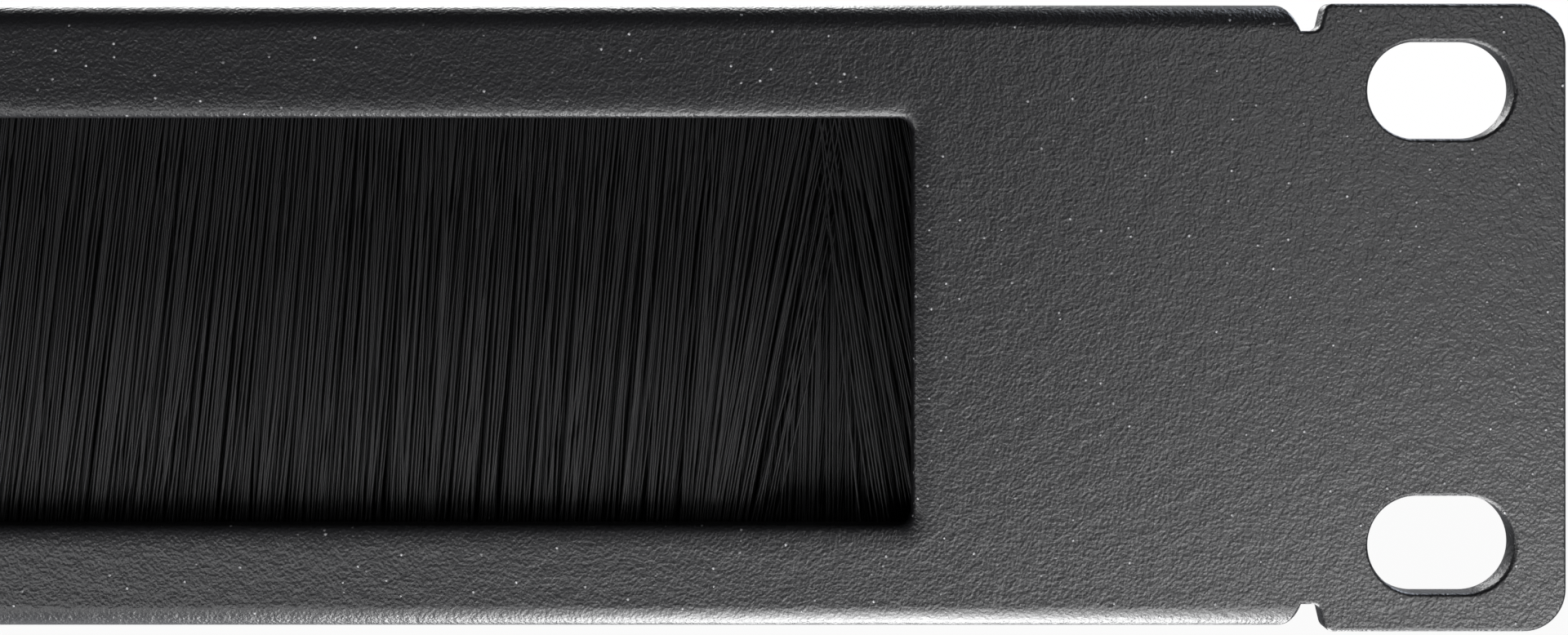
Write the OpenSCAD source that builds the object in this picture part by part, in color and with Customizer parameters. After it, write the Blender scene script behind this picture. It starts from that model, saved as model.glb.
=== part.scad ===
// Rack brush strip panel, one rack unit high.
// A folded steel panel with a long cable window, closed by a strip brush that hangs
// from an aluminium holder bolted under the top flange.
//
// X runs along the panel, Y goes back into the rack and Z is up. The origin is the
// middle of the four rack slots, on the rear face of the ears.

/* [Panel sheet] */
// Width over both ears
panel_w = 482.6; // [460:0.1:620]
// Height of the ears
ear_h = 43.9; // [42:0.1:60]
// Length of each ear, from the end of the panel to the end of its flanges
ear_w = 18.5; // [16:0.1:22]
// How far the flanges lie inside the upper and lower edges of the ears
flange_inset = 0.05; // [0:0.05:0.5]
// Depth from the front face to the rear edges of the flanges
panel_depth = 15; // [14.6:0.1:30]
// Thickness of the steel sheet
sheet_t = 1.5; // [1.2:0.1:1.6]
// Inside radius of the folds
fold_r = 0.35; // [0.2:0.05:0.5]
// Radius of the outer corners of the ears
ear_corner_r = 3; // [1:0.1:5]

/* [Corner reliefs] */
// Width of each relief at its root, where the fold starts
relief_w = 1.25; // [0.8:0.05:2]
// How far the ear leans away from the relief at its mouth
relief_ear_lean = 0.45; // [0:0.05:1]
// Radius of the relief's corner under the ear
relief_r = 0.45; // [0.2:0.05:0.6]
// Radius of the ear's corner beside the relief
relief_ear_r = 0.5; // [0.2:0.05:1]
// How far the flange's end is set back where the fold ends
flange_end_cut = 1.1; // [0.2:0.05:2]

/* [Cable window] */
// From the end of the panel to the end of the window
window_end = 45.6; // [40:0.1:80]
// Height of the rail above the window
top_rail_h = 7.95; // [7.3:0.05:9]
// Height of the rail below the window
bottom_rail_h = 7.35; // [5:0.05:10]
// Corner radius of the window
window_r = 1; // [0.5:0.1:3]

/* [Rack slots] */
// From the end of the panel to the middle of its slots
slot_end = 8.75; // [8:0.01:10]
// Height between the upper and the lower slots
slot_pitch_z = 31.75; // [28:0.01:33]
// Length of a slot
slot_len = 10.2; // [8:0.1:12]
// Height of a slot
slot_h = 6.8; // [6:0.1:7.2]

/* [Brush holder] */
// Height of the holder's box, which takes the brush
box_h = 5.5; // [5.2:0.1:5.7]
// Wall of the box in front of and behind the brush
box_wall = 0.9; // [0.7:0.1:1.2]
// Thickness of the two lips that carry the brush
lip_t = 0.8; // [0.6:0.1:1]
// Opening between the lips
lip_mouth = 2.5; // [2.3:0.1:2.8]
// Thickness of the leg that is bolted to the flange
leg_t = 1.3; // [1:0.1:1.6]
// How far the leg reaches back behind the box
leg_reach = 7.4; // [7.3:0.1:8]
// Outside edge radius of the holder
holder_edge_r = 0.4; // [0.2:0.05:0.6]
// How far the holder is longer than the brush, at each end
holder_extra = 4; // [1:0.5:8]

/* [Strip brush] */
// How far the brush runs past the window, at each end
brush_overlap = 6; // [3:0.5:9]
// Width of the crimped channel
channel_w = 3.4; // [3.2:0.1:3.6]
// Height of the crimped channel
channel_h = 3.5; // [3.2:0.1:3.6]
// Thickness of the channel's steel strip
channel_t = 0.45; // [0.3:0.05:0.5]
// Outside radius of the channel's back corners
channel_r = 0.9; // [0.6:0.1:1.2]
// Opening between the channel's pinched legs
channel_mouth = 2.1; // [1.9:0.05:2.2]
// Height of the pinched part of the legs
pinch_h = 1.1; // [0.8:0.1:1.4]
// Diameter of the core wire that the bristles are folded over
wire_d = 1.1; // [0.8:0.1:1.4]
// How far the core wire sticks out past the channel, at each end
wire_extra = 0.5; // [0.2:0.1:2]

/* [Bristles] */
// Ranks of tufts, one behind another
ranks = 3; // [3:2:5]
// Tufts in one rank
tufts = 121; // [61:1:121]
// Width of a tuft
tuft_w = 1.8; // [0.8:0.05:2.4]
// Space between two ranks
rank_gap = 0.04; // [0.02:0.01:0.1]
// How far the outer ranks fan out in front and behind, in degrees
fan = 1.2; // [0:0.1:2]
// How far the tips hang below the window
tip_overlap = 2.2; // [0.8:0.1:3]
// How much the tips differ in length, up or down
tip_ragged = 0.25; // [0:0.05:0.4]
// Lean of the bristles towards -X, in degrees
lean = 5; // [0:0.5:8]
// How much the lean rises and falls along the brush, in degrees
lean_wave = 1.5; // [0:0.1:3]
// How much each tuft's lean differs by itself, in degrees
lean_spread = 0.8; // [0:0.1:1.5]
// Lean of the last tufts away from the middle, in degrees
splay = 9; // [5:0.5:12]
// Length over which the lean turns to the splay, at each end
splay_len = 26; // [15:1:60]

/* [Fasteners] */
// Number of studs, each with a washer and a nut
stud_count = 5; // [3:1:9]
// From the end of the holder to its first stud
stud_end = 25.7; // [10:0.1:60]
// Diameter of the studs
stud_d = 3; // [2.5:0.5:3]
// Diameter of the weld collar at the root of a stud
collar_d = 4; // [3.6:0.1:4.2]
// Height of the weld collar
collar_h = 0.5; // [0.3:0.1:0.8]
// How far a stud reaches past its nut
stud_past = 1.1; // [0.5:0.1:3]
// Outside diameter of the washers
washer_d = 7; // [6:0.1:7]
// Thickness of the washers
washer_t = 0.5; // [0.4:0.1:0.6]
// Width of the nuts across their flats
nut_af = 5.5; // [5:0.1:5.6]
// Height of the nuts
nut_h = 2.4; // [2:0.1:3]

/* [Clearances] */
// Between the brush channel and the walls of its holder
channel_gap = 0.1; // [0.05:0.05:0.2]
// Between the bristles and the channel
bristle_gap = 0.05; // [0.02:0.01:0.1]
// Between the holder and the back of the face
holder_gap = 0.1; // [0.05:0.05:0.3]
// Round a stud, in the hole of its washer and of its nut
stud_gap = 0.1; // [0.05:0.05:0.2]
// Round a weld collar, in its hole in the holder
collar_gap = 0.2; // [0.1:0.05:0.3]

/* [Hidden] */
$fn = 64;
over = 1; // how far a cutter runs past what it cuts

black_coat = "#26262a";
black_nylon = "#1b1b1d";
aluminium = "#9da0a4";
steel = "#8d9093";
zinc = "#b7babd";

// Panel
body_w = panel_w - 2 * ear_w;
body_h = ear_h - 2 * flange_inset;
window_w = panel_w - 2 * window_end;
bend_r = fold_r + sheet_t;
bend_z = body_h / 2 - bend_r; // where the folds start
flange_in = body_h / 2 - sheet_t; // inner face of the flanges
window_top = body_h / 2 - top_rail_h;
window_bottom = -body_h / 2 + bottom_rail_h;
slot_x = panel_w / 2 - slot_end;

// Brush holder
box_in = channel_w + 2 * channel_gap; // room for the channel across the box
box_d = box_in + 2 * box_wall;
box_front = holder_gap;
box_bottom = flange_in - box_h;
leg_back = box_front + box_d + leg_reach;
brush_y = box_front + box_d / 2;

// Strip brush
brush_len = window_w + 2 * brush_overlap;
holder_len = brush_len + 2 * holder_extra;
channel_bottom = box_bottom + lip_t;
channel_top = channel_bottom + channel_h;
root_half = channel_mouth / 2 - bristle_gap;
root_bottom = box_bottom + lip_t / 4; // the ranks part just inside the lips
root_inner_half = channel_w / 2 - channel_t - bristle_gap;
wire_z = channel_top - channel_t - bristle_gap - root_inner_half;

// Bristles
rank_t = (2 * root_half - (ranks - 1) * rank_gap) / ranks;
rank_pitch = rank_t + rank_gap;
tuft_step = (brush_len - tuft_w) / (ranks * tufts); // leaves bare root at the ends
tuft_sink = 0.4; // how far a rank reaches up into the root
tuft_len = root_bottom - window_bottom + tip_overlap;

// Fasteners
hole_d = collar_d + 2 * collar_gap;
stud_y = box_front + box_d + channel_gap + washer_d / 2;
stud_span = holder_len - 2 * stud_end;
washer_top = flange_in - leg_t;
nut_top = washer_top - washer_t;
stud_bottom = nut_top - nut_h - stud_past;

// An outline drawn across the panel (Y, Z), run along X
module along_x(length) {
    rotate([90, 0, 90]) linear_extrude(length, center = true) children();
}

// An outline drawn on the face (X, Z), run back from y0 to y1
module through_y(y0, y1) {
    rotate([90, 0, 0]) translate([0, 0, -y1]) linear_extrude(y1 - y0) children();
}

module rounded_rect(x0, y0, x1, y1, r) {
    translate([x0 + r, y0]) square([x1 - x0 - 2 * r, y1 - y0]);
    translate([x0, y0 + r]) square([x1 - x0, y1 - y0 - 2 * r]);
    for (x = [x0 + r, x1 - r], y = [y0 + r, y1 - r]) translate([x, y]) circle(r);
}

module slot_outline() {
    run = slot_len - slot_h;
    square([run, slot_h], center = true);
    for (s = [-1, 1]) translate([s * run / 2, 0]) circle(d = slot_h);
}

module both_ends() {
    children();
    mirror([1, 0, 0]) children();
}

// What lies outside an arc of radius r in the corner towards -x and +y, with some beyond
module corner_waste(r, beyond) {
    difference() {
        translate([-r - beyond, 0]) square(r + beyond);
        circle(r);
    }
}

// Points of the corner at b, between a and c, rounded with radius r
function rounded_corner(a, b, c, r) =
    let (u = (a - b) / norm(a - b), v = (c - b) / norm(c - b))
    let (half_angle = acos(u * v) / 2, steps = 4)
    let (centre = b + (u + v) / norm(u + v) * r / sin(half_angle))
    let (side = sign(u.x * v.y - u.y * v.x), start = b + u * r / tan(half_angle) - centre)
    let (turn = side * (2 * half_angle - 180))
    [for (i = [0:steps]) let (t = turn * i / steps)
        centre + [start.x * cos(t) - start.y * sin(t), start.x * sin(t) + start.y * cos(t)]];

module face_outline() {
    relief_out = body_w / 2 + relief_w;
    root = [body_w / 2, bend_z];
    under_ear = [relief_out, bend_z];
    ear_inner = [relief_out + relief_ear_lean, ear_h / 2];
    ear_outer = [panel_w / 2, ear_h / 2];
    half = concat(
        [root],
        rounded_corner(root, under_ear, ear_inner, relief_r),
        rounded_corner(under_ear, ear_inner, ear_outer, relief_ear_r),
        [ear_outer]
    );
    right = concat(half, [for (i = [len(half) - 1:-1:0]) [half[i].x, -half[i].y]]);
    left = [for (i = [len(right) - 1:-1:0]) [-right[i].x, right[i].y]];
    difference() {
        polygon(concat(right, left));
        both_ends() for (side = [0, 1]) mirror([0, side, 0])
            translate([ear_corner_r - panel_w / 2, ear_h / 2 - ear_corner_r])
                corner_waste(ear_corner_r, over);
    }
}

module face_openings() {
    rounded_rect(-window_w / 2, window_bottom, window_w / 2, window_top, window_r);
    for (x = [-slot_x, slot_x], z = [-slot_pitch_z / 2, slot_pitch_z / 2])
        translate([x, z]) slot_outline();
}

// The upper fold and its flange, with a foot that laps the face. The blank is cut back
// across the fold, so the flange is shorter than the fold's start.
module flange() {
    foot_z = bend_z - sheet_t;
    above = bend_r + over;
    difference() {
        along_x(body_w) difference() {
            translate([-sheet_t, foot_z]) square([panel_depth, body_h / 2 - foot_z]);
            translate([fold_r, bend_z]) corner_waste(bend_r, over);
            difference() {
                translate([0, foot_z - over]) square([panel_depth, flange_in - foot_z + over]);
                translate([fold_r, bend_z]) corner_waste(fold_r, 0);
            }
        }
        both_ends() through_y(-sheet_t - over, fold_r) polygon([
            [body_w / 2, bend_z],
            [body_w / 2 + over, bend_z],
            [body_w / 2 + over, bend_z + above],
            [body_w / 2 - flange_end_cut * above / bend_r, bend_z + above]
        ]);
        both_ends() translate([body_w / 2 - flange_end_cut, fold_r, bend_z])
            cube([flange_end_cut + over, panel_depth, above]);
    }
}

module panel() {
    color(black_coat) union() {
        through_y(-sheet_t, 0) difference() {
            face_outline();
            face_openings();
        }
        flange();
        mirror([0, 0, 1]) flange();
    }
}

// One aluminium extrusion: a box open below, with a leg behind it
module brush_holder() {
    box_back = box_front + box_d;
    color(aluminium) difference() {
        along_x(holder_len) difference() {
            union() {
                rounded_rect(box_front, box_bottom, box_back, flange_in, holder_edge_r);
                rounded_rect(box_back - box_wall, flange_in - leg_t, leg_back, flange_in,
                    holder_edge_r);
            }
            translate([box_front + box_wall, box_bottom + lip_t])
                square([box_in, channel_h + 2 * channel_gap]);
            translate([brush_y - lip_mouth / 2, box_bottom - over])
                square([lip_mouth, lip_t + 2 * over]);
        }
        at_studs(flange_in - leg_t - over) cylinder(h = leg_t + 2 * over, d = hole_d);
    }
}

module at_studs(z) {
    for (i = [0:stud_count - 1])
        translate([stud_span * (i / (stud_count - 1) - 0.5), stud_y, z]) children();
}

module weld_studs() {
    color(zinc) at_studs(stud_bottom) union() {
        translate([0, 0, stud_d / 8])
            cylinder(h = flange_in - stud_bottom - stud_d / 8, d = stud_d);
        cylinder(h = stud_d / 8, d1 = stud_d * 0.75, d2 = stud_d);
        translate([0, 0, flange_in - stud_bottom - collar_h])
            cylinder(h = collar_h, d = collar_d);
    }
}

module washers() {
    color(zinc) at_studs(nut_top) difference() {
        cylinder(h = washer_t, d = washer_d);
        translate([0, 0, -over]) cylinder(h = washer_t + 2 * over, d = stud_d + 2 * stud_gap);
    }
}

// Hexagon nuts, their corners rounded off by a turned chamfer at the free end
module nuts() {
    across = nut_af / cos(30);
    chamfer = (across - nut_af) / 2;
    color(zinc) at_studs(nut_top - nut_h) difference() {
        intersection() {
            cylinder(h = nut_h, d = across, $fn = 6);
            union() {
                cylinder(h = chamfer / 2, d1 = nut_af, d2 = across);
                translate([0, 0, chamfer / 2]) cylinder(h = nut_h, d = across + over);
            }
        }
        translate([0, 0, -over]) cylinder(h = nut_h + 2 * over, d = stud_d + 2 * stud_gap);
    }
}

// The channel's outside, its inside or the bristles in it: a round-backed top and
// straight sides that lean in to the mouth
module pinched_bar(length, half, top, r, half_mouth, bottom) {
    pinch_z = channel_bottom + pinch_h;
    translate([0, brush_y, 0]) union() {
        along_x(length) polygon([
            [-half, top - r], [half, top - r], [half, pinch_z],
            [half_mouth, bottom], [-half_mouth, bottom], [-half, pinch_z]
        ]);
        along_x(length) translate([-half + r, pinch_z])
            square([2 * (half - r), top - pinch_z]);
        for (s = [-1, 1]) along_x(length) translate([s * (half - r), top - r]) circle(r);
    }
}

module brush_channel() {
    mouth_lean = (channel_w / 2 - channel_t - channel_mouth / 2) / pinch_h;
    color(steel) difference() {
        pinched_bar(brush_len, channel_w / 2, channel_top, channel_r,
            channel_mouth / 2 + channel_t, channel_bottom);
        pinched_bar(brush_len + 2 * over, channel_w / 2 - channel_t, channel_top - channel_t,
            channel_r - channel_t, channel_mouth / 2 - over * mouth_lean,
            channel_bottom - over);
    }
}

module core_wire() {
    color(zinc) along_x(brush_len + 2 * wire_extra)
        translate([brush_y, wire_z]) circle(d = wire_d);
}

// Lean towards -X of a tuft rooted at x: a slow wave, turning to the splay at each end,
// more so in the front ranks
function smooth(t) = let (u = min(max(t, 0), 1)) u * u * (3 - 2 * u);
function lean_at(x, rank) =
    let (end = smooth((abs(x) - brush_len / 2 + splay_len) / splay_len))
    let (outward = -sign(x) * splay * (1 - rank / (2 * ranks)))
    (lean + lean_wave * sin(5.4 * x)) * (1 - end) + outward * end;

// One rank of tufts: a comb in X and Z, its teeth hanging from its origin's height
module rank_outline(rank) {
    phase = (2 * rank) % ranks;
    leans = rands(-lean_spread, lean_spread, tufts, 11 + rank);
    lengths = rands(tuft_len - tip_ragged, tuft_len + tip_ragged, tufts, 31 + rank);
    teeth = [for (i = [0:tufts - 1])
        let (x = ((i - (tufts - 1) / 2) * ranks + phase - (ranks - 1) / 2) * tuft_step)
        let (tip_x = x - lengths[i] * tan(lean_at(x, rank) + leans[i]))
        each [
            [x - tuft_w / 2, 0],
            [tip_x - tuft_w / 2, -lengths[i]],
            [tip_x + tuft_w / 2, -lengths[i]],
            [x + tuft_w / 2, 0]
        ]];
    end = brush_len / 2;
    polygon(concat([[-end, 0]], teeth, [[end, 0], [end, tuft_sink], [-end, tuft_sink]]));
}

// The bristles are folded over the core wire and hang down in ranks
module bristles() {
    color(black_nylon) union() {
        difference() {
            pinched_bar(brush_len, root_inner_half, channel_top - channel_t - bristle_gap,
                channel_r - channel_t, root_half, channel_bottom);
            along_x(brush_len + 2 * over) translate([brush_y, wire_z]) circle(d = wire_d);
        }
        along_x(brush_len) translate([brush_y - root_half, root_bottom])
            square([2 * root_half, channel_bottom - root_bottom + bristle_gap]);
        for (rank = [0:ranks - 1]) {
            side = rank - (ranks - 1) / 2;
            translate([0, brush_y + side * rank_pitch, root_bottom])
                rotate([2 * fan * side / (ranks - 1), 0, 0])
                    through_y(-rank_t / 2, rank_t / 2) rank_outline(rank);
        }
    }
}

panel();
brush_holder();
weld_studs();
washers();
nuts();
brush_channel();
core_wire();
bristles();
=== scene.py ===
"""Looks of a one-unit rack panel of folded, powder-coated steel, with a strip brush
behind its cable window."""

import math

import bmesh
import bpy
import numpy as np
from mathutils import Matrix, Vector


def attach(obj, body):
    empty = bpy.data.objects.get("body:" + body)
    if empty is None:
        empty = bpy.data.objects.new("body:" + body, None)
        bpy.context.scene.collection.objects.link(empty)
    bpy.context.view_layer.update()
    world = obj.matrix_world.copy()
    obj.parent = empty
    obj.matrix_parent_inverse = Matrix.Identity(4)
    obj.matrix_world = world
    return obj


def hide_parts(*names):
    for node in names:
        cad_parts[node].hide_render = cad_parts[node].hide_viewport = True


MM = 0.001

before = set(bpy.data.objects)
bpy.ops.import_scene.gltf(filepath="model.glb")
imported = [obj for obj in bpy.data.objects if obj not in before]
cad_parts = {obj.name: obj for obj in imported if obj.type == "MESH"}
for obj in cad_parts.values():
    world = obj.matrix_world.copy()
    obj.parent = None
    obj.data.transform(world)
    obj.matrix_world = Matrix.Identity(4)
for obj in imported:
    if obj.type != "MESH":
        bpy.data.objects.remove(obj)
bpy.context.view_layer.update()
scene = bpy.context.scene

# Sizes of the real parts, in millimetres
PANEL_W = 482.6
EAR_H = 43.9
EAR_W = 18.5
BODY_H = 43.8
PANEL_DEPTH = 15.0
SHEET_T = 1.5
FOLD_R = 0.35
EAR_CORNER_R = 3.0
RELIEF_W = 1.25
RELIEF_EAR_LEAN = 0.45
FLANGE_END_CUT = 1.1
WINDOW_END = 45.6
WINDOW_TOP = 13.95
WINDOW_BOTTOM = -14.55
WINDOW_R = 1.0
ROLL_W = 1.9  # the punch rolls the sheet's front inwards this far round the window
SLOT_END = 8.75
SLOT_PITCH = 31.75
SLOT_LEN = 10.2
SLOT_H = 6.8
FLANGE_CORNER_R = 1.0
RELIEF_R = 0.45
RELIEF_EAR_R = 0.5
EDGE_R = 0.28  # how far the coat rounds a cut edge
FOLD_STEPS = 12

BODY_W = PANEL_W - 2 * EAR_W
BEND_Z = BODY_H / 2 - FOLD_R - SHEET_T  # where a fold starts
NEUTRAL_R = FOLD_R + SHEET_T / 2  # the sheet's middle keeps its length in a fold
FOLD_LEN = NEUTRAL_R * math.pi / 2
FLANGE_LEN = PANEL_DEPTH - SHEET_T - FOLD_R
BLANK_Z = BEND_Z + FOLD_LEN + FLANGE_LEN

BRUSH_Y = 2.8
BRUSH_LEN = 403.4
FILAMENT_D = 0.18
FILAMENT_STEP = 0.19
FILAMENT_ROWS = 10
BACKING_ROWS = 4  # the rearmost rows, which hang almost straight
ROWS_HALF_DEPTH = 0.86
FACE_CLEARANCE = 0.25  # least distance from the back of the face to a filament's middle
ROOT_Z = 15.1
TIP_Z = -16.75
TUFT_W = 1.4
LEAN = 5.0  # degrees to the left, seen from the front
BACKING_LEAN = 4.0
PARTING_X = 190.6  # the front rows part at this distance from the middle
PARTING_LEAN = 6.0
END_SPLAY = 7.0
END_SPLAY_FROM = 180
END_SPLAY_W = 22

SOFT_BOX_DISTANCE = 400
FLOOR_Z = -500
FLOOR_HALF_W = 3000


# ---------------------------------------------------------------- materials


def linear(colour):
    """An sRGB hex colour as linear RGBA."""
    parts = [int(colour[i : i + 2], 16) / 255 for i in (1, 3, 5)]
    return [
        p / 12.92 if p <= 0.04045 else ((p + 0.055) / 1.055) ** 2.4 for p in parts
    ] + [1.0]


def per_mm(size):
    """The scale of a pattern whose features are that many millimetres apart."""
    return 1 / (size * MM)


def add(tree, kind, inputs=None, **settings):
    """Adds a node with its settings; inputs are values, or sockets to link."""
    node = tree.nodes.new(kind)
    for name, value in settings.items():
        setattr(node, name, value)
    for name, value in (inputs or {}).items():
        if isinstance(value, bpy.types.NodeSocket):
            tree.links.new(value, node.inputs[name])
        else:
            node.inputs[name].default_value = value
    return node


def new_material(name):
    """An empty material: its tree, the Object coordinates and the shader."""
    material = bpy.data.materials.new(name)
    material.use_nodes = True
    tree = material.node_tree
    tree.nodes.clear()
    place = add(tree, "ShaderNodeTexCoord").outputs["Object"]
    shader = add(tree, "ShaderNodeBsdfPrincipled")
    add(tree, "ShaderNodeOutputMaterial", {"Surface": shader.outputs["BSDF"]})
    return material, tree, place, shader


def black_powder_coat():
    """Black polyester powder coat, cured on steel: satin, with a fine orange peel and
    single coarse grains that stand up, each with a painted highlight: a pale grey base
    colour."""
    material, tree, place, shader = new_material("black_powder_coat")
    peel = add(
        tree,
        "ShaderNodeTexNoise",
        {"Vector": place, "Scale": per_mm(0.24), "Detail": 1.5, "Roughness": 0.5},
    )
    swell = add(
        tree,
        "ShaderNodeTexNoise",
        {"Vector": place, "Scale": per_mm(1.1), "Detail": 1.0},
    )
    grains = add(
        tree,
        "ShaderNodeTexVoronoi",
        {"Vector": place, "Scale": per_mm(1.0), "Randomness": 1.0},
    )
    picked = add(
        tree,
        "ShaderNodeSeparateColor",
        {"Color": grains.outputs["Color"]},
    )
    rare = add(
        tree,
        "ShaderNodeMapRange",
        {"Value": picked.outputs["Red"], "From Min": 0.4, "From Max": 0.9},
    )
    dome = add(
        tree,
        "ShaderNodeMapRange",
        {
            "Value": grains.outputs["Distance"],
            "From Min": 0.14,
            "From Max": 0.04,
        },
        interpolation_type="SMOOTHSTEP",
    )
    grain = add(
        tree,
        "ShaderNodeMath",
        {0: dome.outputs["Result"], 1: rare.outputs["Result"]},
        operation="MULTIPLY",
    )
    height = add(
        tree,
        "ShaderNodeMath",
        {0: grain.outputs[0], 1: 1.2, 2: peel.outputs["Fac"]},
        operation="MULTIPLY_ADD",
    )
    height = add(
        tree,
        "ShaderNodeMath",
        {0: swell.outputs["Fac"], 1: 0.8, 2: height.outputs[0]},
        operation="MULTIPLY_ADD",
    )
    bump = add(
        tree,
        "ShaderNodeBump",
        {"Height": height.outputs[0], "Strength": 1.0, "Distance": 0.065 * MM},
    )
    # painted highlight: the grains' base colour is pale grey, standing in for the glint
    # they catch
    tint = add(
        tree,
        "ShaderNodeMix",
        {
            "Factor": grain.outputs[0],
            "A": linear("#161618"),
            "B": linear("#909092"),
        },
        data_type="RGBA",
    )
    gloss = add(
        tree,
        "ShaderNodeMapRange",
        {"Value": peel.outputs["Fac"], "To Min": 0.42, "To Max": 0.32},
    )
    tree.links.new(tint.outputs["Result"], shader.inputs["Base Color"])
    tree.links.new(gloss.outputs["Result"], shader.inputs["Roughness"])
    tree.links.new(bump.outputs["Normal"], shader.inputs["Normal"])
    shader.inputs["IOR"].default_value = 1.5
    return material


def black_nylon():
    """Drawn nylon filament, dyed through: near black, with a narrow sheen along it. Its
    colour
    fades to grey towards the tips: painted light, for the low light the lower brush
    catches."""
    material, tree, place, shader = new_material("black_nylon")
    streak = add(
        tree,
        "ShaderNodeMapping",
        {"Vector": place, "Scale": (per_mm(0.5), per_mm(0.5), per_mm(9))},
    )
    batch = add(
        tree,
        "ShaderNodeTexNoise",
        {"Vector": streak.outputs["Vector"], "Scale": 1.0, "Detail": 2.0},
    )
    dye_and_painted_light = add(
        tree,
        "ShaderNodeMix",
        {"Factor": batch.outputs["Fac"], "A": linear("#09090a"), "B": linear("#101011")},
        data_type="RGBA",
    )
    height = add(tree, "ShaderNodeSeparateXYZ", {"Vector": place}).outputs["Z"]
    # painted light: the base colour pales towards the tips, where low light falls on the
    # bristles
    tip_painted_light = add(
        tree,
        "ShaderNodeMapRange",
        {"Value": height, "From Min": 4 * MM, "From Max": TIP_Z * MM},
    )
    dye_and_painted_light = add(
        tree,
        "ShaderNodeMix",
        {
            "Factor": tip_painted_light.outputs["Result"],
            "A": dye_and_painted_light.outputs["Result"],
            "B": linear("#272728"),
        },
        data_type="RGBA",
    )
    gloss = add(
        tree,
        "ShaderNodeMapRange",
        {"Value": batch.outputs["Fac"], "To Min": 0.40, "To Max": 0.32},
    )
    tree.links.new(dye_and_painted_light.outputs["Result"], shader.inputs["Base Color"])
    tree.links.new(gloss.outputs["Result"], shader.inputs["Roughness"])
    shader.inputs["IOR"].default_value = 1.53
    # duller than bare nylon, which has 0.5, so that the brush stays dark at its root
    shader.inputs["Specular IOR Level"].default_value = 0.2
    return material


def extruded_aluminium():
    """Mill-finish aluminium extrusion: pale grey, with die lines along its length."""
    material, tree, place, shader = new_material("extruded_aluminium")
    along = add(
        tree,
        "ShaderNodeMapping",
        {"Vector": place, "Scale": (per_mm(60), per_mm(0.16), per_mm(0.16))},
    )
    lines = add(
        tree,
        "ShaderNodeTexNoise",
        {"Vector": along.outputs["Vector"], "Scale": 1.0, "Detail": 3.0},
    )
    cloud = add(tree, "ShaderNodeTexNoise", {"Vector": place, "Scale": per_mm(14)})
    tint = add(
        tree,
        "ShaderNodeMix",
        {"Factor": cloud.outputs["Fac"], "A": linear("#a9acb0"), "B": linear("#c6c8ca")},
        data_type="RGBA",
    )
    gloss = add(
        tree,
        "ShaderNodeMapRange",
        {"Value": lines.outputs["Fac"], "To Min": 0.28, "To Max": 0.46},
    )
    bump = add(
        tree,
        "ShaderNodeBump",
        {"Height": lines.outputs["Fac"], "Strength": 0.6, "Distance": 0.01 * MM},
    )
    tree.links.new(tint.outputs["Result"], shader.inputs["Base Color"])
    tree.links.new(gloss.outputs["Result"], shader.inputs["Roughness"])
    tree.links.new(bump.outputs["Normal"], shader.inputs["Normal"])
    shader.inputs["Metallic"].default_value = 1.0
    return material


def zinc_plate(name, dull, bright, grain, rough):
    """Electroplated or dipped zinc on steel: a cool grey that varies in patches."""
    material, tree, place, shader = new_material(name)
    patches = add(
        tree,
        "ShaderNodeTexVoronoi",
        {"Vector": place, "Scale": per_mm(grain)},
        feature="SMOOTH_F1",
    )
    haze = add(
        tree,
        "ShaderNodeTexNoise",
        {"Vector": place, "Scale": per_mm(grain / 5), "Detail": 3.0},
    )
    mixed = add(
        tree,
        "ShaderNodeMath",
        {0: patches.outputs["Distance"], 1: haze.outputs["Fac"]},
        operation="MULTIPLY",
    )
    tint = add(
        tree,
        "ShaderNodeMix",
        {"Factor": mixed.outputs[0], "A": linear(bright), "B": linear(dull)},
        data_type="RGBA",
    )
    gloss = add(
        tree,
        "ShaderNodeMapRange",
        {"Value": haze.outputs["Fac"], "To Min": rough - 0.08, "To Max": rough + 0.1},
    )
    bump = add(
        tree,
        "ShaderNodeBump",
        {"Height": haze.outputs["Fac"], "Strength": 0.5, "Distance": 0.01 * MM},
    )
    tree.links.new(tint.outputs["Result"], shader.inputs["Base Color"])
    tree.links.new(gloss.outputs["Result"], shader.inputs["Roughness"])
    tree.links.new(bump.outputs["Normal"], shader.inputs["Normal"])
    shader.inputs["Metallic"].default_value = 1.0
    return material


coat = black_powder_coat()
nylon = black_nylon()
aluminium = extruded_aluminium()
zinc = zinc_plate("bright_zinc_plate", "#8f949a", "#c3c8cd", 3, 0.30)
galvanised = zinc_plate("galvanised_steel", "#85898d", "#b3b7ba", 5, 0.38)


# ---------------------------------------------------------------- mesh tools


def finish_piece(name, bm, material, smooth_angle=35):
    """Makes the piece from its bmesh, in millimetres until now."""
    bmesh.ops.scale(bm, vec=(MM, MM, MM), verts=bm.verts)
    mesh = bpy.data.meshes.new(name)
    bm.to_mesh(mesh)
    bm.free()
    mesh.shade_smooth()
    mesh.set_sharp_from_angle(angle=math.radians(smooth_angle))
    piece = bpy.data.objects.new(name, mesh)
    scene.collection.objects.link(piece)
    piece.data.materials.append(material)
    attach(piece, "root")
    return piece


def outline(bm, corners):
    """A flat face in X and Z through (x, z, corner radius); round corners are bevelled."""
    made = [bm.verts.new((x, 0, z)) for x, z, r in corners]
    bm.faces.new(made)
    radii = {}
    for vert, (x, z, r) in zip(made, corners):
        if r:
            radii.setdefault(r, []).append(vert)
    for r, verts in radii.items():
        bmesh.ops.bevel(
            bm,
            geom=verts,
            offset=r,
            offset_type="OFFSET",
            affect="VERTICES",
            segments=max(5, round(6 + 4 * r)),
            profile=0.5,
            material=-1,
        )


# ---------------------------------------------------------------- panel


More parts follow.
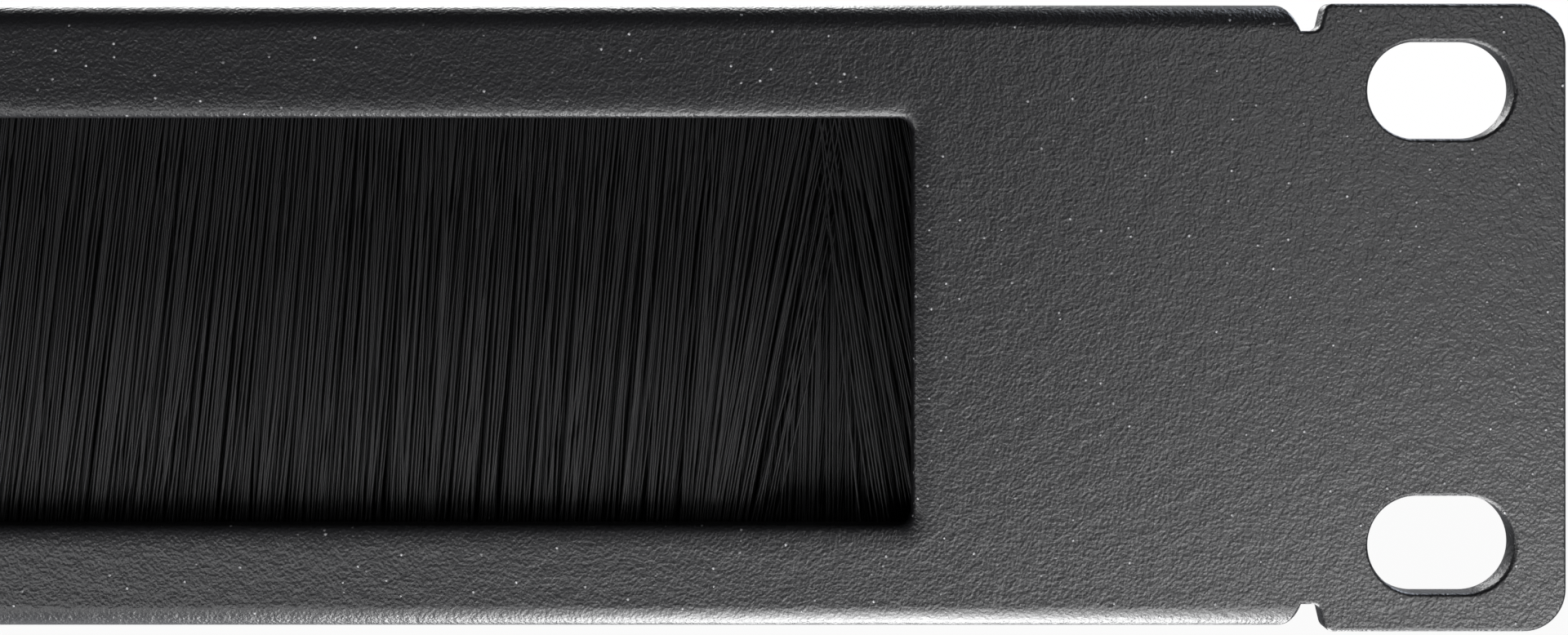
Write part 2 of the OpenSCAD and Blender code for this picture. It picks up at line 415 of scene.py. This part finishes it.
def folded(co):
    """Where a point of the flat blank goes when both flanges are folded back."""
    side = 1 if co.z > 0 else -1
    past = abs(co.z) - BEND_Z
    if past <= 0 or abs(co.x) > BODY_W / 2 + RELIEF_W / 2:  # the face and the ears
        return co
    turn = min(past / NEUTRAL_R, math.pi / 2)
    r = FOLD_R - co.y
    y = FOLD_R - r * math.cos(turn) + max(past - FOLD_LEN, 0)
    return Vector((co.x, y, side * (BEND_Z + r * math.sin(turn))))


def around_window(edge):
    """Whether an edge lies on the wall of the blank's window."""
    return all(
        abs(v.co.x) < PANEL_W / 2 - WINDOW_END + ROLL_W + 0.01
        and WINDOW_BOTTOM - ROLL_W - 0.01 < v.co.z < WINDOW_TOP + ROLL_W + 0.01
        for v in edge.verts
    )


def roll_window_edge(bm):
    """Gives the window the edge that a punch leaves: its front rolls in over 2 mm, then
    turns into the cut wall. The rim is extruded inwards step by step."""
    walls = [
        f
        for f in bm.faces
        if abs(f.normal.y) < 0.5 and all(around_window(e) for e in f.edges)
    ]
    bmesh.ops.delete(bm, geom=walls, context="FACES")
    rim = [
        e
        for e in bm.edges
        if e.is_boundary and around_window(e) and e.verts[0].co.y < -SHEET_T / 2
    ]
    core_x = PANEL_W / 2 - WINDOW_END - WINDOW_R
    steps = (  # how far out from the window's edge, and the depth there
        (1.45, -1.495),
        (1.05, -1.475),
        (0.70, -1.435),
        (0.42, -1.375),
        (0.22, -1.29),
        (0.08, -1.15),
        (0.0, -0.95),
        (0.0, -0.16),
        (0.05, -0.05),
        (0.16, 0.0),
        (ROLL_W, 0.0),
    )
    for inset, y in steps:
        made = bmesh.ops.extrude_edge_only(bm, edges=rim)["geom"]
        rim = [g for g in made if isinstance(g, bmesh.types.BMEdge)]
        for vert in (g for g in made if isinstance(g, bmesh.types.BMVert)):
            centre = Vector(
                (
                    max(-core_x, min(core_x, vert.co.x)),
                    0,
                    max(
                        WINDOW_BOTTOM + WINDOW_R,
                        min(WINDOW_TOP - WINDOW_R, vert.co.z),
                    ),
                )
            )
            out = (vert.co - centre) * Vector((1, 0, 1))
            vert.co = centre + out.normalized() * (WINDOW_R + inset)
            vert.co.y = y
    bmesh.ops.remove_doubles(bm, verts=bm.verts[:], dist=0.002)


def make_panel():
    """The flat blank with its reliefs, window and slots, made thick, its cut edges
    rounded by the coat, and then folded."""
    bm = bmesh.new()
    end = BODY_W / 2
    quarter = [
        (end - FLANGE_END_CUT, BLANK_Z, FLANGE_CORNER_R),
        (end - FLANGE_END_CUT, BEND_Z + FOLD_LEN, 0),
        (end, BEND_Z, 0),
        (end + RELIEF_W, BEND_Z, RELIEF_R),
        (end + RELIEF_W + RELIEF_EAR_LEAN, EAR_H / 2, RELIEF_EAR_R),
        (PANEL_W / 2, EAR_H / 2, EAR_CORNER_R),
    ]
    right = quarter + [(x, -z, r) for x, z, r in reversed(quarter)]
    outline(bm, right + [(-x, z, r) for x, z, r in reversed(right)])
    w = PANEL_W / 2 - WINDOW_END + ROLL_W
    top, bottom = WINDOW_TOP + ROLL_W, WINDOW_BOTTOM - ROLL_W
    outline(
        bm,
        [
            (x, z, WINDOW_R + ROLL_W)
            for x, z in ((-w, bottom), (w, bottom), (w, top), (-w, top))
        ],
    )
    for sx in (-1, 1):
        for sz in (-1, 1):
            cx, cz = sx * (PANEL_W / 2 - SLOT_END), sz * SLOT_PITCH / 2
            outline(
                bm,
                [
                    (cx + a * SLOT_LEN / 2, cz + b * SLOT_H / 2, SLOT_H / 2 - 0.001)
                    for a, b in ((-1, -1), (1, -1), (1, 1), (-1, 1))
                ],
            )
    bmesh.ops.remove_doubles(bm, verts=bm.verts, dist=0.003)
    bmesh.ops.delete(bm, geom=bm.faces[:], context="FACES_ONLY")
    bmesh.ops.triangle_fill(bm, use_beauty=True, edges=bm.edges[:])
    bmesh.ops.dissolve_limit(
        bm, angle_limit=0.01, verts=bm.verts[:], edges=bm.edges[:]
    )

    raised = bmesh.ops.extrude_face_region(bm, geom=bm.faces[:])["geom"]
    front = [g for g in raised if isinstance(g, bmesh.types.BMVert)]
    bmesh.ops.translate(bm, vec=(0, -SHEET_T, 0), verts=front)
    bmesh.ops.recalc_face_normals(bm, faces=bm.faces[:])
    rims = [
        e
        for e in bm.edges
        if e.calc_face_angle() > 1.4
        and abs(e.verts[0].co.y - e.verts[1].co.y) < 0.01
        and not around_window(e)
    ]
    bmesh.ops.bevel(
        bm,
        geom=rims,
        offset=EDGE_R,
        offset_type="OFFSET",
        affect="EDGES",
        segments=3,
        profile=0.5,
        material=-1,
        clamp_overlap=False,
    )
    roll_window_edge(bm)
    for side in (-1, 1):
        for i in range(FOLD_STEPS + 1):
            bmesh.ops.bisect_plane(
                bm,
                geom=bm.verts[:] + bm.edges[:] + bm.faces[:],
                dist=0.0005,
                plane_co=(0, 0, side * (BEND_Z + FOLD_LEN * i / FOLD_STEPS)),
                plane_no=(0, 0, 1),
            )
    for vert in bm.verts:
        vert.co = folded(vert.co)
    bmesh.ops.recalc_face_normals(bm, faces=bm.faces[:])
    piece = finish_piece("folded_panel", bm, coat, 50)
    weigh = piece.modifiers.new("flat_faces_stay_flat", "WEIGHTED_NORMAL")
    weigh.keep_sharp = True
    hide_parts("panel")


# ---------------------------------------------------------------- bristles


def smooth(t):
    """Rises from 0 to 1 with no corner."""
    t = np.clip(t, 0, 1)
    return t * t * (3 - 2 * t)


def make_bristles():
    """Rows of single filaments hanging from the channel: they lean together in tufts,
    and fan out at both ends of the brush where nothing holds them."""
    rng = np.random.default_rng(7)
    count = int(BRUSH_LEN / FILAMENT_STEP)
    hang = ROOT_Z - TIP_Z
    down = np.array([0.0, 0.3, 0.65, 1.0])  # the points along a filament
    for pair in range(FILAMENT_ROWS // 2):
        curve = bpy.data.curves.new(f"bristle_rows_{pair + 1}", "CURVE")
        curve.dimensions = "3D"
        curve.bevel_depth = FILAMENT_D / 2 * MM
        curve.bevel_resolution = 0
        curve.use_fill_caps = True
        curve.resolution_u = 1
        for row in (2 * pair, 2 * pair + 1):
            depth = (row + 0.5) / FILAMENT_ROWS * 2 - 1  # -1 in front, 1 behind
            front = row < FILAMENT_ROWS // 2
            backing = row >= FILAMENT_ROWS - BACKING_ROWS
            loose = 1.0 if front else 0.1 if backing else 0.35
            shift = (0.25, 0.75, 0.5)[row % 3]  # so that no slit runs through the rows
            jitter = rng.uniform(-0.3, 0.3, count) * loose
            x = (np.arange(count) + shift + jitter) * FILAMENT_STEP
            x = x - BRUSH_LEN / 2
            wave = 1.3 * np.sin(x / 9.5) + 0.5 * np.sin(x / 3.7 + 1.3 * row)
            tuft = np.floor((x + rng.uniform(0, TUFT_W)) / TUFT_W).astype(int)
            tuft_lean = rng.normal(0, 0.5, tuft.max() - tuft.min() + 1)[
                tuft - tuft.min()
            ]
            if front:
                # they cross near each end, and lean outwards past the parting
                past = np.abs(x) - PARTING_X + rng.normal(0, 1.3, count)
                swing = PARTING_LEAN * np.exp(np.minimum(past, 0) / 5)
                lean = LEAN + wave + np.where(x < 0, -swing, swing)
                splay = rng.uniform(7, 13, count)
                lean = np.where(past > 0, -np.sign(x) * splay, lean)
            elif backing:
                lean = BACKING_LEAN + 0.4 * wave
            else:
                end = smooth((np.abs(x) - END_SPLAY_FROM) / END_SPLAY_W)
                lean = (LEAN + wave) * (1 - end) - np.sign(x) * END_SPLAY * end
            stray = rng.random(count) < 0.04 * loose
            single = rng.normal(0, 0.5, count) * loose
            single = np.where(stray, rng.normal(0, 2.2, count), single)
            lean = np.radians(lean + tuft_lean * loose + single)
            bend = np.radians(rng.normal(0, 0.8, count)) * loose
            fan = np.radians(depth * 1.4 + rng.normal(0, 0.15, count))
            length = hang + rng.uniform(-0.25, 0.25, count)
            y = BRUSH_Y + depth * ROWS_HALF_DEPTH + rng.uniform(-0.02, 0.02, count)
            points = np.ones((count, len(down), 4), np.float32)
            for k, d in enumerate(down):
                curl = bend * 4 * d * (1 - d) * 0.5
                back = np.maximum(y + length * d * np.tan(fan), FACE_CLEARANCE)
                points[:, k, 0] = (x - length * d * np.tan(lean) - length * curl) * MM
                points[:, k, 1] = back * MM
                points[:, k, 2] = (ROOT_Z - length * d) * MM
            for i in range(count):
                spline = curve.splines.new("POLY")
                spline.points.add(len(down) - 1)
                spline.points.foreach_set("co", points[i].ravel())
        piece = bpy.data.objects.new(curve.name, curve)
        scene.collection.objects.link(piece)
        curve.materials.append(nylon)
        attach(piece, "root")
        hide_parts("bristles")


def make_bristle_root():
    """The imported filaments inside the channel, folded over the core wire."""
    bm = bmesh.new()
    made = [
        bm.verts.new((-BRUSH_LEN / 2 + 0.05, BRUSH_Y + y, z))
        for y, z in (
            (-0.98, 15.0),
            (0.98, 15.0),
            (1.0, 15.65),
            (1.2, 16.7),
            (1.2, 17.6),
            (-1.2, 17.6),
            (-1.2, 16.7),
            (-1.0, 15.65),
        )
    ]
    bm.faces.new(made)
    tops = [v for v in made if v.co.z > 17]
    bmesh.ops.bevel(
        bm,
        geom=tops,
        offset=0.9,
        offset_type="OFFSET",
        affect="VERTICES",
        segments=8,
        profile=0.5,
        material=-1,
    )
    raised = bmesh.ops.extrude_face_region(bm, geom=bm.faces[:])["geom"]
    bmesh.ops.translate(
        bm,
        vec=(BRUSH_LEN - 0.1, 0, 0),
        verts=[g for g in raised if isinstance(g, bmesh.types.BMVert)],
    )
    bmesh.ops.recalc_face_normals(bm, faces=bm.faces[:])
    finish_piece("bristle_root", bm, nylon)


make_panel()
make_bristles()
make_bristle_root()

for node, material in (
    ("panel", coat),
    ("bristles", nylon),
    ("brush_holder", aluminium),
    ("brush_channel", galvanised),
    ("core_wire", galvanised),
    ("weld_studs", zinc),
    ("washers", zinc),
    ("nuts", zinc),
):
    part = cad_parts[node]
    part.data.materials.clear()
    part.data.materials.append(material)


# ---------------------------------------------------------------- studio


def soft_box(name, turn, rise, size, glow, colour="#ffffff", middle=(190, 0, 0)):
    """A soft box that faces a middle point, near the panel's right end unless given. Seen
    from there it is turned to the right of the front and raised, in degrees. Its glow is
    how bright its own face is, where 1 is white."""
    light = bpy.data.lights.new(name, "AREA")
    light.shape = "RECTANGLE"
    light.size, light.size_y = size[0] * MM, size[1] * MM
    light.energy = glow * math.pi * light.size * light.size_y
    light.color = linear(colour)[:3]
    holder = bpy.data.objects.new(name, light)
    scene.collection.objects.link(holder)
    turn, rise = math.radians(turn), math.radians(rise)
    away = Vector(
        (
            math.cos(rise) * math.sin(turn),
            -math.cos(rise) * math.cos(turn),
            math.sin(rise),
        )
    )
    holder.location = (Vector(middle) + SOFT_BOX_DISTANCE * away) * MM
    holder.rotation_euler = away.to_track_quat("Z", "Y").to_euler()
    holder.visible_camera = False


def make_floor():
    """A plain pale floor, half a metre below. It looks nearly white, and keeps a trace of
    the panel's shadow."""
    bm = bmesh.new()
    bmesh.ops.create_grid(
        bm,
        size=FLOOR_HALF_W * MM,
        matrix=Matrix.Translation((0, 0, FLOOR_Z * MM)),
        x_segments=1,
        y_segments=1,
    )
    mesh = bpy.data.meshes.new("floor")
    bm.to_mesh(mesh)
    bm.free()
    floor = bpy.data.objects.new("floor", mesh)
    scene.collection.objects.link(floor)
    material, tree, _, shader = new_material("pale_floor")
    shader.inputs["Base Color"].default_value = linear("#e4e5e7")
    shader.inputs["Roughness"].default_value = 0.8
    seen = add(tree, "ShaderNodeLightPath").outputs["Is Camera Ray"]
    share = add(tree, "ShaderNodeMath", {0: seen, 1: 0.95}, operation="MULTIPLY")
    white = add(
        tree,
        "ShaderNodeEmission",
        {"Color": (1.0, 1.0, 1.0, 1.0), "Strength": 1.0},
    )
    mix = add(
        tree,
        "ShaderNodeMixShader",
        {0: share.outputs[0], 1: shader.outputs["BSDF"], 2: white.outputs["Emission"]},
    )
    output = next(n for n in tree.nodes if n.type == "OUTPUT_MATERIAL")
    tree.links.new(mix.outputs["Shader"], output.inputs["Surface"])
    floor.data.materials.append(material)


def make_studio():
    """Soft boxes low in front and stronger to the right, two below for the lower fold,
    and two above and behind for the upper fold, the right edge and the back."""
    soft_box("low_left", -35, -28, (200, 160), 3.1)
    soft_box("far_left", -62, -22, (120, 70), 11.0)
    soft_box("low_front", 0, -38, (400, 180), 1.3)
    soft_box("low_right", 20, -28, (160, 160), 2.0)
    soft_box("right", 31, -5, (110, 150), 2.6)
    soft_box("right_upper", 28, 9, (100, 110), 3.6)
    soft_box("far_right_low", 45, -30, (160, 160), 11.0)
    soft_box("behind_right", 114, 36, (260, 260), 6.7, "#e8f0ff")
    soft_box("below_front", 14, -52, (300, 150), 7.0)
    soft_box("below", 90, -83, (400, 240), 15.4)
    soft_box("behind", 180, 40, (500, 200), 9.0, middle=(0, 0, 0))

    world = bpy.data.worlds.new("studio")
    scene.world = world
    world.use_nodes = True
    tree = world.node_tree
    tree.nodes.clear()
    seen = add(tree, "ShaderNodeLightPath")
    backdrop = add(
        tree,
        "ShaderNodeMath",
        {0: seen.outputs["Is Camera Ray"], 1: seen.outputs["Is Transmission Ray"]},
        operation="MAXIMUM",
    )
    direction = add(
        tree,
        "ShaderNodeSeparateXYZ",
        {"Vector": add(tree, "ShaderNodeTexCoord").outputs["Generated"]},
    )
    # the room is pale behind the panel, and dim in front of it
    behind = add(
        tree,
        "ShaderNodeMapRange",
        {
            "Value": direction.outputs["Y"],
            "From Min": -0.05,
            "From Max": 0.35,
            "To Min": 0.02,
            "To Max": 0.6,
        },
        interpolation_type="SMOOTHSTEP",
    )
    white = add(tree, "ShaderNodeBackground", {"Color": (1, 1, 1, 1), "Strength": 1.0})
    room = add(
        tree,
        "ShaderNodeBackground",
        {"Color": linear("#f4f6fa"), "Strength": behind.outputs["Result"]},
    )
    mix = add(
        tree,
        "ShaderNodeMixShader",
        {0: backdrop.outputs[0], 1: room.outputs[0], 2: white.outputs[0]},
    )
    add(tree, "ShaderNodeOutputWorld", {"Surface": mix.outputs[0]})


def make_camera():
    """Looks level and square on from close by, at the panel's right end."""
    camera = bpy.data.cameras.new("camera")
    holder = bpy.data.objects.new("camera", camera)
    scene.collection.objects.link(holder)
    holder.location = (180.0 * MM, -121.5 * MM, 16.0 * MM)
    holder.rotation_euler = (math.radians(90), 0, 0)
    camera.sensor_width = 36
    camera.lens = 39.5
    camera.shift_x = 0.061
    camera.shift_y = -0.146
    camera.clip_start = 0.005
    camera.clip_end = 20
    scene.camera = holder


make_floor()
make_studio()
make_camera()
scene.view_settings.view_transform = "Standard"
